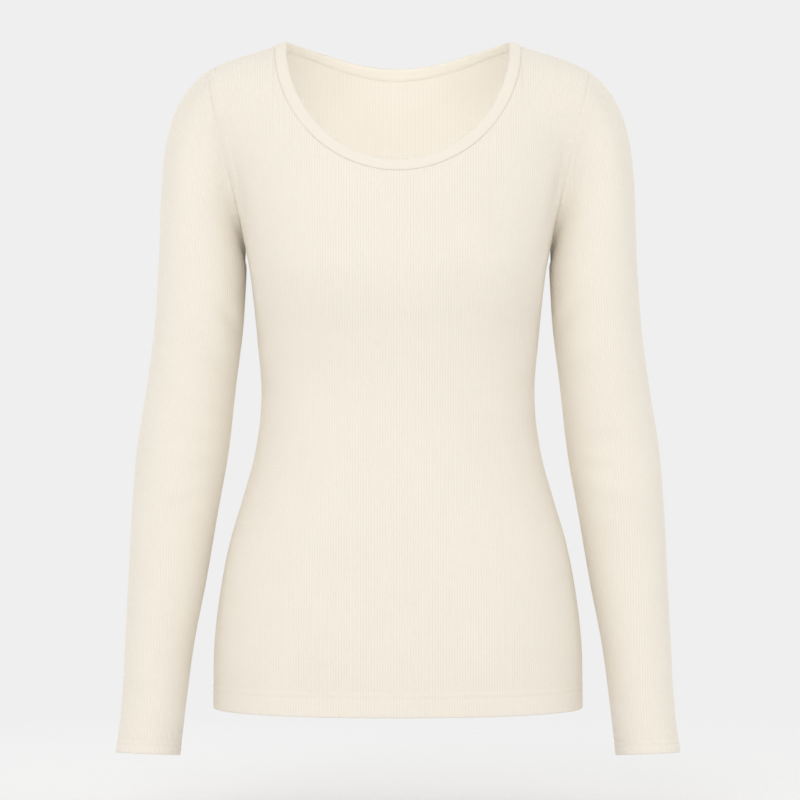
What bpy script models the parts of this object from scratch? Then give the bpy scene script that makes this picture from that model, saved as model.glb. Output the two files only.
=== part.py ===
"""Long-sleeved thermal base layer top in rib knit, hollow, in its worn form.

Metres, +Z up. The front faces -Y and the right half, seen from the front, lies at +X. Y = 0 is the
plane of the shoulder seams and side seams, and the origin lies between the two shoulders, at the
middle height of the shoulder seams. Heights are given as drops below the high point of the neck.

Every piece of cloth is a wall between two skins. A skin is a grid whose columns run along the
knit's wales. The columns stay one width apart, so they run off at the side seam and at the
underarm seam, as in cut cloth, and they stop at the neck, the shoulder and the armhole.
"""

import math

import bmesh
import bpy
import numpy as np

NAME = "thermal_base_layer_top"

# Heights.
NECK_POINT_Z = 0.015
ARMPIT_DROP = 0.195
HEM_DROP = 0.622
CUFF_DROP = 0.6625

# Cloth.
CLOTH = 0.0016
RIB_DEPTH = 0.0006
RIB_PITCH = 0.0090
RIB_FADE = 0.006
FOLDED_EDGE = 0.0012
HEM_HEIGHT = 0.024
CUFF_HEM_HEIGHT = 0.012
FOLD_STEP = 0.0008
SEAM_GAP = 0.0003
ARMHOLE_GAP = 0.0008

# Neck, in front view, along the panels' edge. The band fills the rest.
NECK_HALF_WIDTH = 0.1148
NECK_FRONT_DROP = 0.1276
NECK_BACK_DROP = 0.0306
NECK_BACK_CURVE = 1.3
BAND_WIDTH = 0.0108
BAND_GAP = 0.0006
BAND_STATIONS = 52

# Section of the folded band: part of the way in from the panels, and rise over the form.
BAND_SECTION = (
    (0.00, 0.0000),
    (0.08, 0.0004),
    (0.50, 0.0008),
    (0.90, 0.0003),
    (1.00, -0.0008),
    (0.90, -0.0019),
    (0.08, -0.0020),
    (0.00, -0.0016),
)

# Shoulder line: distance from the middle, and drop.
SHOULDER_COLUMNS = ("x", "drop")
SHOULDER = (
    (0.000, -0.0180),
    (0.060, -0.0120),
    (0.104, 0.0000),
    (0.132, 0.0095),
    (0.161, 0.0190),
    (0.178, 0.0275),
    (0.193, 0.0385),
    (0.210, 0.0560),
)
SHOULDER_TIP_X = 0.178

# Body: one row for each level section, from above the armpit down to the hem.
BODY_COLUMNS = ("drop", "half_width", "front", "back", "front_square", "back_square")
BODY = (
    (0.150, 0.1490, 0.1110, 0.1050, 2.20, 2.30),
    (0.195, 0.1418, 0.1180, 0.1040, 2.35, 2.30),
    (0.213, 0.1384, 0.1183, 0.1025, 2.40, 2.30),
    (0.240, 0.1350, 0.1136, 0.0985, 2.35, 2.25),
    (0.275, 0.1316, 0.1045, 0.0935, 2.20, 2.20),
    (0.335, 0.1276, 0.0950, 0.0860, 2.10, 2.20),
    (0.385, 0.1335, 0.0980, 0.0890, 2.10, 2.20),
    (0.430, 0.1458, 0.1035, 0.0985, 2.15, 2.20),
    (0.465, 0.1562, 0.1070, 0.1065, 2.20, 2.20),
    (0.510, 0.1652, 0.1098, 0.1160, 2.20, 2.20),
    (0.560, 0.1712, 0.1100, 0.1200, 2.20, 2.20),
    (0.622, 0.1722, 0.1085, 0.1175, 2.20, 2.20),
)

# How far the cloth runs up from the armpit level, and back over the shoulder line.
RISE = {-1: 0.078, 1: 0.085}
CREST_REACH = {-1: 0.066, 1: 0.060}
CREST_DROP = {-1: 0.012, 1: 0.008}
ARMHOLE_CURVE = 1.6

# Sleeve: one row for each level section of the arm, from just below the armpit to the cuff.
ARM_COLUMNS = ("drop", "x", "y", "half_width", "half_depth")
ARM = (
    (0.225, 0.1832, 0.000, 0.0412, 0.0470),
    (0.264, 0.1858, 0.001, 0.0414, 0.0465),
    (0.324, 0.1934, 0.002, 0.0417, 0.0452),
    (0.383, 0.2013, 0.001, 0.0430, 0.0445),
    (0.443, 0.2087, -0.003, 0.0400, 0.0430),
    (0.503, 0.2149, -0.009, 0.0363, 0.0400),
    (0.563, 0.2218, -0.016, 0.0320, 0.0365),
    (0.608, 0.2256, -0.022, 0.0300, 0.0340),
    (0.6625, 0.2313, -0.030, 0.0296, 0.0320),
)

# Where each wale of the sleeve starts at the armhole: share of the way round the arm, from its outer
# side, and share of the way down the armhole.
CAP_STARTS_COLUMNS = ("around", "down")
CAP_STARTS = (
    (0.00, 0.00),
    (0.14, 0.10),
    (0.32, 0.20),
    (0.44, 0.30),
    (0.55, 0.41),
    (0.65, 0.53),
    (0.76, 0.68),
    (0.88, 0.85),
    (1.00, 1.00),
)
CAP_SLOPE = 0.75
CAP_SIDEWAYS = 0.32
CAP_OUT = (0.057, 0.030)
CAP_DOWN = (0.080, 0.030)
CREASE_FROM = 0.0
CREASE_TO = 0.46

# How far the armhole's edge is pushed out, front and back, at shares of the way down it.
PUSH_COLUMNS = ("down", "push")
PUSH = (
    (0.00, 0.0000),
    (0.10, 0.0003),
    (0.22, 0.0030),
    (0.36, 0.0072),
    (0.50, 0.0100),
    (0.64, 0.0108),
    (0.78, 0.0086),
    (0.90, 0.0036),
    (1.00, 0.0000),
)
PUSH_REACH = 0.030
CAP_LENGTH = 0.072

# Columns that only the cut edges need, and the plain inner skin's columns.
NECK_STEP = 0.055
NECK_CUTS = 7
ARMHOLE_STEP = 0.06
ARMHOLE_CUTS = 13
PLAIN_STEP = 0.022
PLAIN_SIDE = (0.35, 0.7, 1.0)
PLAIN_SLEEVE = 9

SAMPLES = 360
LEVEL_STEP = 0.004
RUN_STEP = 0.001
SHARE_STEP = 0.01
MERGE_ACROSS = 0.0008
MERGE_ALONG = 0.010
FLAT = 1e-7
HALVINGS = 40
CORRECTIONS = 12

IVORY = (0.84, 0.77, 0.655, 1.0)
BAND_IVORY = (0.86, 0.795, 0.685, 1.0)
CLOTH_ROUGHNESS = 0.92

# Rows of the skins: drops below the armpit level, and shares of the way up from there.
BODY_DROPS = (0.622, 0.598, 0.565, 0.530, 0.495, 0.460, 0.425, 0.385, 0.345, 0.305, 0.270, 0.240, 0.215)
UPPER_SHARES = (0.0, 0.17, 0.34, 0.50, 0.64, 0.76, 0.86, 0.94, 1.0)
CAP_SHARES = (0.0, 0.10, 0.24, 0.40, 0.56, 0.72, 0.87)
ARM_DROPS = (0.225, 0.260, 0.305, 0.350, 0.395, 0.440, 0.490, 0.540, 0.590, 0.632, 0.6505, 0.6625)


def height(drop):
    """Z of a drop below the high point of the neck."""
    return NECK_POINT_Z - drop


def through(xs, ys, x):
    """Values at x of a smooth curve through the points (xs, ys), where xs rises."""
    xs, ys = np.asarray(xs, float), np.asarray(ys, float)
    slope = np.gradient(ys, xs)
    i = np.clip(np.searchsorted(xs, x) - 1, 0, len(xs) - 2)
    step = xs[i + 1] - xs[i]
    u = (x - xs[i]) / step
    start = (2 * u**3 - 3 * u**2 + 1) * ys[i] + (u**3 - 2 * u**2 + u) * step * slope[i]
    end = (3 * u**2 - 2 * u**3) * ys[i + 1] + (u**3 - u**2) * step * slope[i + 1]
    return start + end


def column_of(table, names, name):
    """One named column of a table."""
    return [row[names.index(name)] for row in table]


def body_value(name, drop):
    """A column of the body's table at any drop."""
    return through(column_of(BODY, BODY_COLUMNS, "drop"), column_of(BODY, BODY_COLUMNS, name), drop)


def arm_value(name, drop):
    """A column of the arm's table at any drop."""
    return through(column_of(ARM, ARM_COLUMNS, "drop"), column_of(ARM, ARM_COLUMNS, name), drop)


def run_lengths(points):
    """Distance along a line of points, from its first point to each."""
    steps = np.linalg.norm(np.diff(points, axis=0), axis=1)
    return np.concatenate([[0.0], np.cumsum(steps)])


def body_section(side, drop):
    """Half of a level section, from the middle to the side seam: (run, points)."""
    angle = np.linspace(0.0, math.pi / 2, SAMPLES)
    name = "front" if side < 0 else "back"
    power = 2.0 / body_value(name + "_square", drop)
    x = body_value("half_width", drop) * np.sin(angle) ** power
    y = side * body_value(name, drop) * np.clip(np.cos(angle), 0.0, 1.0) ** power
    points = np.stack([x, y, np.full(SAMPLES, height(drop))], 1)
    return run_lengths(points), points


def at_run(section, run):
    """Points at distances along a section."""
    runs, points = section
    return np.stack([np.interp(run, runs, points[:, k]) for k in range(3)], -1)


def shoulder_line():
    """The shoulder line from the middle outwards: (run, points)."""
    xs = column_of(SHOULDER, SHOULDER_COLUMNS, "x")
    drops = column_of(SHOULDER, SHOULDER_COLUMNS, "drop")
    x = np.linspace(xs[0], xs[-1], SAMPLES)
    points = np.stack([x, np.zeros(SAMPLES), height(through(xs, drops, x))], 1)
    return run_lengths(points), points


CREST = shoulder_line()
TIP_RUN = float(np.interp(SHOULDER_TIP_X, CREST[1][:, 0], CREST[0]))
NECK_RUN = float(np.interp(NECK_HALF_WIDTH, CREST[1][:, 0], CREST[0]))
ARMPIT_RUN = {side: float(body_section(side, ARMPIT_DROP)[0][-1]) for side in (-1, 1)}


def upper_points(side, run, share):
    """Points above the armpit level: run across the cloth, share of the way to the shoulder line."""
    foot_section = body_section(side, ARMPIT_DROP)
    above = body_section(side, ARMPIT_DROP - LEVEL_STEP)
    below = body_section(side, ARMPIT_DROP + LEVEL_STEP)
    part = run / ARMPIT_RUN[side]
    lean = at_run(above, part * above[0][-1]) - at_run(below, part * below[0][-1])
    foot = at_run(foot_section, run)
    crest = at_run(CREST, run)
    rise = foot + lean / (2 * LEVEL_STEP) * RISE[side]
    reach = crest + np.array([0.0, side * CREST_REACH[side], -CREST_DROP[side]])
    u = np.asarray(share)[..., None]
    return (1 - u) ** 3 * foot + 3 * u * (1 - u) ** 2 * rise + 3 * u**2 * (1 - u) * reach + u**3 * crest


def neck_height(side, x, inward=0.0):
    """Height of the neck's edge in front view, or of a line that lies further in."""
    half = NECK_HALF_WIDTH - inward
    top = np.interp(half, CREST[1][:, 0], CREST[1][:, 2])
    across = np.clip(x / half, 0.0, 1.0)
    if side < 0:
        depth = top - height(NECK_FRONT_DROP) - inward
        return top - depth * np.sqrt(1 - across**2)
    depth = top - height(NECK_BACK_DROP) - inward
    return top - depth * np.cos(across * math.pi / 2) ** NECK_BACK_CURVE


def share_at_neck(side, run, inward=0.0):
    """Share at which each wale meets the neck's edge, by halving."""
    low, high = np.zeros_like(run), np.ones_like(run)
    for _ in range(HALVINGS):
        middle = (low + high) / 2
        p = upper_points(side, run, middle)
        over = p[:, 2] > neck_height(side, p[:, 0], inward)
        low, high = np.where(over, low, middle), np.where(over, middle, high)
    return (low + high) / 2


def armhole_share(side, run):
    """Share at which a wale beyond the shoulder tip meets the armhole."""
    left = np.clip((ARMPIT_RUN[side] - run) / (ARMPIT_RUN[side] - TIP_RUN), 0.0, 1.0)
    return 1 - (1 - left**ARMHOLE_CURVE) ** (1 / ARMHOLE_CURVE)


def top_share(side, run):
    """Share at which each wale stops: at the neck, the shoulder seam or the armhole."""
    run = np.abs(run)
    share = np.ones_like(run)
    neck = run < NECK_RUN
    share[neck] = share_at_neck(side, run[neck])
    beyond = run > TIP_RUN
    share[beyond] = armhole_share(side, run[beyond])
    return share


def unit(vectors):
    """Vectors scaled to a length of 1."""
    return vectors / np.linalg.norm(vectors, axis=-1)[..., None]


def armhole_line(side):
    """Half of the armhole, from the shoulder tip to the armpit: (run, points)."""
    angle = np.linspace(0.0, math.pi / 2, SAMPLES)
    zone = ARMPIT_RUN[side] - TIP_RUN
    run = ARMPIT_RUN[side] - zone * np.cos(angle) ** (2 / ARMHOLE_CURVE)
    share = 1 - np.sin(angle) ** (2 / ARMHOLE_CURVE)
    points = upper_points(side, run, share)
    return run_lengths(points), points


ARMHOLE = {side: armhole_line(side) for side in (-1, 1)}


def pushed_out(side, points):
    """Points near an armhole moved out, front or back, so that panel and sleeve meet in a soft valley."""
    runs, line = ARMHOLE[side]
    ahead = unit(np.gradient(line, axis=0))
    gaps = points[..., None, :] - line
    near = np.argmin((gaps**2).sum(-1), axis=-1)
    gap = np.take_along_axis(gaps, near[..., None, None], axis=-2)[..., 0, :]
    along = (gap * ahead[near]).sum(-1)
    apart = np.sqrt(np.clip((gap**2).sum(-1) - along**2, 0.0, None))
    down = np.clip((runs[near] + along) / runs[-1], 0.0, 1.0)
    push = through(column_of(PUSH, PUSH_COLUMNS, "down"), column_of(PUSH, PUSH_COLUMNS, "push"), down)
    push = push * np.clip(1 - apart / PUSH_REACH, 0.0, 1.0) ** 2
    return points + np.stack([np.zeros_like(push), side * push, np.zeros_like(push)], -1)


def panel_points(side, below, value, run):
    """Points of a panel's form at runs in one row, below the armpit level or above it."""
    if below:
        section = body_section(side, value)
        return pushed_out(side, at_run(section, np.clip(run, 0.0, section[0][-1])))
    return pushed_out(side, upper_points(side, np.clip(run, 0.0, None), np.clip(value, 0.0, 1.0)))


def panel_normals(side, below, value, run):
    """Unit normals that point out of a panel's form."""
    run = np.maximum(run, RUN_STEP)
    across = panel_points(side, below, value, run) - panel_points(side, below, value, run - RUN_STEP)
    if below:
        section, lower = body_section(side, value - LEVEL_STEP), body_section(side, value + LEVEL_STEP)
        part = run / body_section(side, value)[0][-1]
        along = at_run(section, part * section[0][-1]) - at_run(lower, part * lower[0][-1])
    else:
        value = np.maximum(value, SHARE_STEP)
        along = panel_points(side, below, value, run) - panel_points(side, below, value - SHARE_STEP, run)
    return unit(np.cross(across, along) * -side)


def grid_faces(grid):
    """Faces between the rows and columns of a grid of point numbers, with what has merged left out."""
    faces = []
    for low, high in zip(grid[:-1], grid[1:]):
        for j in range(len(low) - 1):
            face = []
            for corner in (low[j], low[j + 1], high[j + 1], high[j]):
                if corner not in face:
                    face.append(corner)
            if len(face) > 2:
                faces.append(face)
    return faces


def panel_grid(side, columns, rows):
    """A panel's skin: (points, normals, places in the cloth, grid of point numbers, edge loop)."""
    runs_above, runs_below = columns
    tops = top_share(side, runs_above)
    points, normals, places, grid, known = [], [], [], [], {}

    def add(key, point, normal, place):
        if key not in known:
            known[key] = len(points)
            points.append(point)
            normals.append(normal)
            places.append(place)
        return known[key]

    armpit_row = sum(1 for kind, _ in rows if kind == "drop")
    for i, (kind, value) in enumerate(rows):
        below = kind == "drop"
        runs = runs_below if below else runs_above
        section = body_section(side, value if below else ARMPIT_DROP)
        width = section[0][-1]
        near = np.minimum(np.abs(runs), width)
        values = value if below else np.where(value > tops - MERGE_ALONG, tops, value)
        found = panel_points(side, below, values, near)
        out = panel_normals(side, below, values, near)
        seam_out = panel_normals(side, True, value if below else ARMPIT_DROP, np.array([width]))[0]
        line = []
        for j, run in enumerate(runs):
            sign = math.copysign(1.0, run)
            turn = np.array([sign, 1.0, 1.0])
            if abs(run) > width - MERGE_ACROSS:
                row = min(i, armpit_row)
                key, point, normal = ("side", sign, row), section[1][-1], seam_out
                place = (sign * width, row, 0.0)
            elif not below and value > tops[j] - MERGE_ALONG:
                key, point, normal = ("top", j), found[j], out[j]
                place = (sign * near[j], armpit_row + tops[j], 0.0)
            else:
                room = width - near[j]
                if not below:
                    room = min(room, (tops[j] - value) * RISE[side])
                key, point, normal = (i, round(float(run), 7)), found[j], out[j]
                place = (sign * near[j], i if below else armpit_row + value, min(1.0, room / RIB_FADE))
            line.append(add(key, point * turn, normal * turn, place))
        grid.append(line)
    loop = panel_loop(known, grid, len(runs_above), armpit_row, places, side)
    points = np.array(points)
    normals = set_level(np.array(normals), on_seam_plane(points))
    return points, normals, np.array(places, float), grid, loop


def panel_loop(known, grid, count, armpit_row, places, side):
    """The panel's edge, as (place round the edge, point) from the hem's left corner."""
    loop = []
    hem = list(dict.fromkeys(grid[0]))
    width = places[hem[-1]][0]
    loop += [((places[p][0] + width) / (2 * width), p) for p in hem]
    for row in range(1, armpit_row + 1):
        loop.append((1 + row / armpit_row, known[("side", 1.0, row)]))
    top = [known[("top", j)] for j in range(count - 1, -1, -1) if ("top", j) in known]
    width = ARMPIT_RUN[side]
    loop += [(2 + (width - places[p][0]) / (2 * width), p) for p in top]
    for row in range(armpit_row, 0, -1):
        loop.append((4 - row / armpit_row, known[("side", -1.0, row)]))
    return loop


def zipped(first, second):
    """Triangles between two edge loops, each a list of (place, point) round the same way."""
    first = first + [(first[0][0] + math.inf, first[0][1])]
    second = second + [(second[0][0] + math.inf, second[0][1])]
    faces, i, j = [], 0, 0
    while i < len(first) - 1 or j < len(second) - 1:
        if j == len(second) - 1 or (i < len(first) - 1 and first[i + 1][0] <= second[j + 1][0]):
            faces.append([first[i][1], first[i + 1][1], second[j][1]])
            i += 1
        else:
            faces.append([first[i][1], second[j + 1][1], second[j][1]])
            j += 1
    return faces


def with_cuts(runs, cuts):
    """Columns with more of them for the cut edges: (runs above the armpit level, runs below it).

    Below the armpit level, each added column merges with the one beside it.
    """
    above, below = list(runs), list(runs)
    for cut in cuts:
        near = min(runs, key=lambda run: abs(run - cut))
        if cut not in above:
            above.append(cut)
            below.append(near)
    order = sorted(range(len(above)), key=lambda k: above[k])
    above, below = [above[k] for k in order], [below[k] for k in order]
    if above[0] == 0.0:
        left = range(len(above) - 1, 0, -1)
    else:
        left = range(len(above) - 1, -1, -1)
    return (
        np.array([-above[k] for k in left] + above),
        np.array([-below[k] for k in left] + below),
    )


def rib_runs(widest):
    """Runs of a crest and a valley for each rib, out to the widest place."""
    half = RIB_PITCH / 2
    return [half * (k + 0.5) for k in range(int(widest / half) + 2)]


def rib_valley(run):
    """How deep the knit is at a run, 0 on a crest and 1 in a valley."""
    phase = np.abs(run) / RIB_PITCH + 0.25
    return 1 - np.abs(2 * (phase % 1.0) - 1)


def panel_cuts(side):
    """Runs at which the neck's edge and the armhole need a column, where they run nearly upright."""
    neck = [NECK_RUN * math.sin(math.pi / 2 * (1 - NECK_STEP * k)) for k in range(NECK_CUTS)]
    zone = ARMPIT_RUN[side] - TIP_RUN
    shares = [1 - ARMHOLE_STEP * k for k in range(ARMHOLE_CUTS)]
    left = [(1 - (1 - share) ** ARMHOLE_CURVE) ** (1 / ARMHOLE_CURVE) for share in shares]
    return neck + [ARMPIT_RUN[side] - zone * part for part in left]


def set_level(normals, flat):
    """Normals without their Y part where a seam lies in the plane Y = 0."""
    normals[flat, 1] = 0.0
    return unit(normals)


def on_seam_plane(points):
    """Which points lie in the plane of the shoulder and side seams."""
    return np.abs(points[:, 1]) < FLAT


def body_panel(name, side):
    """Front or back: a wall with ribs outside and a plain inside, doubled at the hem."""
    widest = max(body_section(side, drop)[0][-1] for drop in BODY_DROPS)
    cuts = panel_cuts(side)
    rows = [("drop", d) for d in BODY_DROPS] + [("share", s) for s in UPPER_SHARES]
    points, normals, places, grid, loop = panel_grid(side, with_cuts(rib_runs(widest), cuts), rows)
    outer = points - normals * (RIB_DEPTH * rib_valley(places[:, 0]) * places[:, 2])[:, None]

    fold = HEM_DROP - HEM_HEIGHT - FOLD_STEP
    drops = sorted(BODY_DROPS + (fold,), reverse=True)
    rows = [("drop", d) for d in drops] + [("share", s) for s in UPPER_SHARES]
    plain = [PLAIN_STEP * k for k in range(int(TIP_RUN / PLAIN_STEP) + 1)] + [TIP_RUN]
    plain += [TIP_RUN + (widest - TIP_RUN) * part for part in PLAIN_SIDE]
    cuts += [PLAIN_STEP * (k + 0.5) for k in range(int(NECK_RUN / PLAIN_STEP))]
    points, normals, places, inner_grid, inner_loop = panel_grid(side, with_cuts(plain, cuts), rows)
    doubled = points[:, 2] < height(fold) - FOLD_STEP / 2
    inner = points - normals * np.where(doubled, CLOTH + FOLDED_EDGE, CLOTH)[:, None]

    shift = np.array([0.0, side * SEAM_GAP / 2, 0.0])
    outer_skin = (outer + shift, grid_faces(grid), [loop])
    inner_skin = (inner + shift, grid_faces(inner_grid), [inner_loop])
    return wall_object(name, outer_skin, inner_skin, "rib_knit")


def arm_section(side, drop):
    """Half of a level section of the arm, from its outer side to the underarm seam: (run, points)."""
    angle = np.linspace(0.0, math.pi, SAMPLES)
    x = arm_value("x", drop) + arm_value("half_width", drop) * np.cos(angle)
    y = arm_value("y", drop) + side * arm_value("half_depth", drop) * np.sin(angle)
    points = np.stack([x, y, np.full(SAMPLES, height(drop))], 1)
    return run_lengths(points), points


def cap_points(side, run, share):
    """Points between the armhole and the first level section of the arm."""
    section = arm_section(side, ARM_DROPS[0])
    lower = arm_section(side, ARM_DROPS[0] + LEVEL_STEP)
    part = run / section[0][-1]
    arounds = column_of(CAP_STARTS, CAP_STARTS_COLUMNS, "around")
    spread = through(arounds, column_of(CAP_STARTS, CAP_STARTS_COLUMNS, "down"), part)
    start = at_run(ARMHOLE[side], spread * ARMHOLE[side][0][-1])
    end = at_run(section, run)
    down = unit(at_run(lower, part * lower[0][-1]) - end)
    sideways = side * CAP_SIDEWAYS * np.sin(math.pi * spread)
    out = unit(np.stack([np.ones_like(run), sideways, np.full_like(run, -CAP_SLOPE)], -1))
    crease = np.clip((spread - CREASE_FROM) / (CREASE_TO - CREASE_FROM), 0.0, 1.0)
    crease = (crease * crease * (3 - 2 * crease))[..., None]
    out = unit((1 - crease) * out + crease * down)
    first = start + out * (CAP_OUT[0] * (1 - crease) + CAP_OUT[1] * crease)
    last = end - down * (CAP_DOWN[0] * (1 - crease) + CAP_DOWN[1] * crease)
    u = np.asarray(share)[..., None]
    return (1 - u) ** 3 * start + 3 * u * (1 - u) ** 2 * first + 3 * u**2 * (1 - u) * last + u**3 * end


def sleeve_points(side, cap, value, run):
    """Points of a sleeve's form at runs in one row, on its cap or on the arm below."""
    section = arm_section(side, ARM_DROPS[0] if cap else value)
    run = np.clip(run, 0.0, section[0][-1])
    return pushed_out(side, cap_points(side, run, np.clip(value, 0.0, 1.0))) if cap else at_run(section, run)


def sleeve_normals(side, cap, value, run):
    """Unit normals that point out of a sleeve's form."""
    run = np.maximum(run, RUN_STEP)
    across = sleeve_points(side, cap, value, run) - sleeve_points(side, cap, value, run - RUN_STEP)
    if cap:
        along = sleeve_points(side, cap, value, run) - sleeve_points(side, cap, value + SHARE_STEP, run)
    else:
        upper, lower = arm_section(side, value - LEVEL_STEP), arm_section(side, value + LEVEL_STEP)
        part = run / arm_section(side, value)[0][-1]
        along = at_run(upper, part * upper[0][-1]) - at_run(lower, part * lower[0][-1])
    return unit(np.cross(across, along) * side)


def sleeve_grid(runs, rows):
    """A sleeve's skin: (points, normals, places, grid, two edge loops). Runs below 0 are at the front."""
    points, normals, places, grid, loops = [], [], [], [], []
    for kind, value in rows:
        cap = kind == "share"
        line, known, loop = [], {}, []
        for side in (-1, 1):
            width = arm_section(side, ARM_DROPS[0] if cap else value)[0][-1]
            half = np.sort(np.abs(runs[runs * side > 0]))[::side]
            near = np.minimum(half, width)
            found = sleeve_points(side, cap, value, near)
            out = sleeve_normals(side, cap, value, near)
            for run, point, normal in zip(near, found, out):
                under = run > width - MERGE_ACROSS
                key = "underarm" if under else side * round(float(run), 7)
                if key not in known:
                    known[key] = len(points)
                    points.append(sleeve_points(side, cap, value, np.array([width]))[0] if under else point)
                    room = min(width - run, value * CAP_LENGTH) if cap else width - run
                    normals.append(normal * (1, 0, 1) if under else normal)
                    places.append((side * run, 0.0 if under else min(1.0, room / RIB_FADE)))
                    loop.append((0.0 if under else (side * run + width) / (2 * width), known[key]))
                line.append(known[key])
        grid.append(line)
        loops.append(sorted(loop))
    normals = unit(np.array(normals))
    return np.array(points), normals, np.array(places), grid, [loops[0], loops[-1]]


def sleeve(name, mirror):
    """A sleeve from its cap to its cuff, ribs outside and plain inside, doubled at the cuff."""
    widest = arm_section(-1, ARM_DROPS[0])[0][-1]
    half = RIB_PITCH / 2
    runs = [half * (k + 0.5) for k in range(int(widest / half - 0.5) + 1)] + [widest]
    rows = [("share", s) for s in CAP_SHARES] + [("drop", d) for d in ARM_DROPS]
    both = np.array([-r for r in runs] + runs)
    points, normals, places, grid, loops = sleeve_grid(both, rows)
    outer = points - normals * (RIB_DEPTH * rib_valley(places[:, 0]) * places[:, 1])[:, None]

    plain = [widest * (k + 0.5) / PLAIN_SLEEVE for k in range(PLAIN_SLEEVE)] + [widest]
    fold = CUFF_DROP - CUFF_HEM_HEIGHT - FOLD_STEP
    rows = [("share", s) for s in CAP_SHARES] + [("drop", d) for d in sorted(ARM_DROPS + (fold,))]
    both = np.array([-r for r in plain] + plain)
    points, normals, places, inner_grid, inner_loops = sleeve_grid(both, rows)
    doubled = points[:, 2] < height(fold) - FOLD_STEP / 2
    inner = points - normals * np.where(doubled, CLOTH + FOLDED_EDGE, CLOTH)[:, None]

    tip, armpit = ARMHOLE[-1][1][0], ARMHOLE[-1][1][-1]
    slope = unit(tip - armpit)
    shift = np.array([slope[2], 0.0, -slope[0]]) * ARMHOLE_GAP
    turn = np.array([-1.0 if mirror else 1.0, 1.0, 1.0])
    outer_skin = ((outer + shift) * turn, grid_faces(grid), loops)
    inner_skin = ((inner + shift) * turn, grid_faces(inner_grid), inner_loops)
    return wall_object(name, outer_skin, inner_skin, "rib_knit")


def neck_line(inward):
    """The closed line round the neck on the form, from the middle of the front: (points, normals)."""
    half = NECK_HALF_WIDTH - inward
    x = half * np.sin(np.linspace(0.0, math.pi / 2, SAMPLES))
    front, back = (on_form(side, x, neck_height(side, x, inward)) for side in (-1, 1))
    mirror = np.array([-1.0, 1.0, 1.0])
    ring, out = (
        np.concatenate([front[k], back[k][::-1][1:], back[k][1:] * mirror, (front[k][::-1] * mirror)[1:]])
        for k in range(2)
    )
    run = run_lengths(ring)
    even = np.linspace(0.0, run[-1], BAND_STATIONS + 1)[:-1]
    ring, out = (np.stack([np.interp(even, run, line[:, k]) for k in range(3)], 1) for line in (ring, out))
    return ring, unit(out)


def on_form(side, x, z):
    """Points of the upper form that show at (x, z) in front view, and the form's normals there."""
    run = x.copy()
    share = np.ones_like(x)
    for _ in range(CORRECTIONS):
        low, high = np.zeros_like(x), np.ones_like(x)
        for _ in range(HALVINGS):
            middle = (low + high) / 2
            over = upper_points(side, run, middle)[:, 2] > z
            low, high = np.where(over, low, middle), np.where(over, middle, high)
        share = (low + high) / 2
        run = np.clip(run + x - upper_points(side, run, share)[:, 0], 0.0, None)
    points = upper_points(side, run, share)
    return points, set_level(panel_normals(side, False, share, run), on_seam_plane(points))


def neckband():
    """The folded band round the neck, a closed ring of one rounded section."""
    (outer_edge, outer_out), (inner_edge, inner_out) = neck_line(BAND_GAP), neck_line(BAND_WIDTH)
    points, faces = [], []
    for k in range(BAND_STATIONS):
        for part, rise in BAND_SECTION:
            edge = outer_edge[k] * (1 - part) + inner_edge[k] * part
            points.append(edge + unit(outer_out[k] * (1 - part) + inner_out[k] * part) * rise)
    size = len(BAND_SECTION)
    for k in range(BAND_STATIONS):
        for j in range(size):
            after, beside = (k + 1) % BAND_STATIONS, (j + 1) % size
            corners = (k * size + j, k * size + beside, after * size + beside, after * size + j)
            faces.append(list(corners))
    return cloth_object("neckband", np.array(points), faces, "band_knit")


def wall_object(name, outer_skin, inner_skin, material):
    """A closed wall from two skins, each (points, faces, edge loops), joined along their edges."""
    outer, outer_faces, outer_loops = outer_skin
    inner, inner_faces, inner_loops = inner_skin
    first = len(outer)
    faces = outer_faces + [[corner + first for corner in face] for face in inner_faces]
    for outer_loop, inner_loop in zip(outer_loops, inner_loops):
        faces += zipped(outer_loop, [(place, point + first) for place, point in inner_loop])
    return cloth_object(name, np.concatenate([outer, inner]), faces, material)


def cloth_object(name, points, faces, material):
    """An object from points and faces, its faces turned out."""
    mesh = bpy.data.meshes.new(name)
    shape = bmesh.new()
    corners = [shape.verts.new(point) for point in points]
    for face in faces:
        shape.faces.new([corners[c] for c in face])
    loose = [v for v in shape.verts if not v.link_faces]
    bmesh.ops.delete(shape, geom=loose, context="VERTS")
    bmesh.ops.triangulate(shape, faces=[f for f in shape.faces if len(f.verts) > 3])
    bmesh.ops.recalc_face_normals(shape, faces=shape.faces)
    if shape.calc_volume(signed=True) < 0:
        bmesh.ops.reverse_faces(shape, faces=shape.faces)
    shape.to_mesh(mesh)
    shape.free()
    mesh.materials.append(bpy.data.materials[material])
    piece = bpy.data.objects.new(name, mesh)
    bpy.data.collections[NAME].objects.link(piece)
    return piece


def cloth_material(name, colour):
    """A matte knit finish."""
    material = bpy.data.materials.new(name)
    material.use_nodes = True
    shader = material.node_tree.nodes["Principled BSDF"]
    shader.inputs["Base Color"].default_value = colour
    shader.inputs["Roughness"].default_value = CLOTH_ROUGHNESS
    shader.inputs["Metallic"].default_value = 0.0
    return material


def main():
    """Build the top."""
    for old in list(bpy.data.objects):
        bpy.data.objects.remove(old, do_unlink=True)
    collection = bpy.data.collections.new(NAME)
    bpy.context.scene.collection.children.link(collection)
    cloth_material("rib_knit", IVORY)
    cloth_material("band_knit", BAND_IVORY)
    body_panel("front_panel", -1)
    body_panel("back_panel", 1)
    sleeve("sleeve_left", mirror=False)
    sleeve("sleeve_right", mirror=True)
    neckband()


main()
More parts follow.
